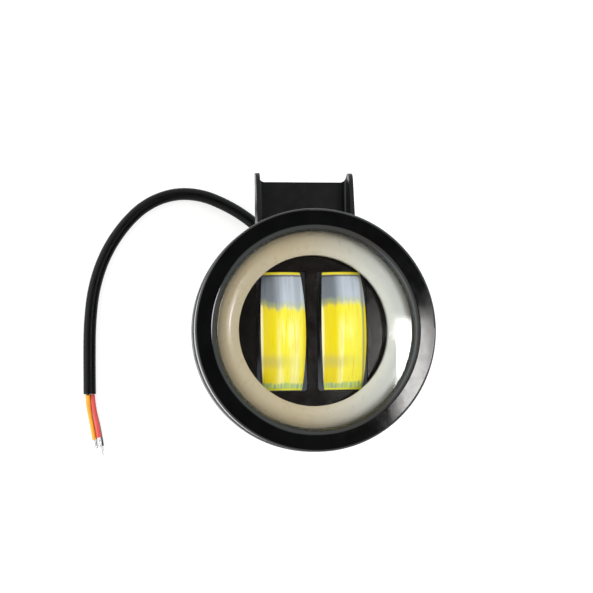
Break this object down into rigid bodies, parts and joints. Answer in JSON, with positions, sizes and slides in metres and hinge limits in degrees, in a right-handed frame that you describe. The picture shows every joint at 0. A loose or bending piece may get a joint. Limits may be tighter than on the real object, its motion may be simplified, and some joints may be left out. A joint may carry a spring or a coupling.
{
  "type": "fog light",
  "caption": "Round auxiliary LED fog light with a halo ring, two yellow lens bars, a tilting U bracket and a bare-ended lead.",
  "frame": {"origin": "centre of the housing's flat rear face; the lamp lies on its back on the plane z = 0", "axes": "+Z is the way the lamp shines, +Y points from the lamp to the bracket, +X is on the right when the face is seen with the bracket at the top"},
  "size_m": [0.1314, 0.1093, 0.062],
  "materials": {
    "cast_black": "satin",
    "bezel_black": "satin",
    "bracket_black": "satin",
    "zinc_steel": "zinc plated",
    "black_steel": "black oxide",
    "nylon": "matte",
    "clear_lens": "polished",
    "bar_lens": "polished",
    "milky": "satin",
    "mask_black": "gloss",
    "reflector": "metallised",
    "phosphor": "matte",
    "board_green": "matte",
    "board_white": "white solder mask",
    "pad_grey": "matte",
    "component": "matte",
    "led_chip": "matte",
    "rubber_black": "matte",
    "cable_black": "satin",
    "wire_yellow": "satin",
    "wire_red": "satin",
    "wire_black": "satin",
    "tinned": "tinned"
  },
  "bodies": {
    "lamp": {"housing": "cast_black", "bezel_ring": "bezel_black", "bezel_screws": "black_steel", "front_lens": "clear_lens", "lens_gasket": "rubber_black", "inner_mask": "mask_black", "halo_diffuser": "milky", "halo_board": "board_white", "halo_leds": "led_chip", "lens_bar_left": "bar_lens", "lens_bar_right": "bar_lens", "reflector_left": "reflector", "reflector_right": "reflector", "led_strip_left": "phosphor", "led_strip_right": "phosphor", "thermal_pad": "pad_grey", "led_board": "board_white", "board_screws": "zinc_steel", "driver_board": "board_green", "driver_parts": "component", "internal_leads": "wire_black", "cable_gland": "rubber_black", "cable_jacket": "cable_black", "wire_yellow": "wire_yellow", "wire_red": "wire_red", "wire_black": "wire_black", "wire_tips": "tinned", "pivot_bolt_left": "black_steel", "pivot_bolt_right": "black_steel", "flat_washers": "zinc_steel", "spring_washers": "zinc_steel", "friction_washers": "nylon"},
    "bracket": {"bracket": "bracket_black"}
  },
  "joints": [
    {"name": "bracket_tilt", "type": "hinge", "parent": "lamp", "child": "bracket", "pos_m": [0, 0.032, 0.0355], "axis": [-1, 0, 0], "range_deg": [-8, 80]}
  ]
}
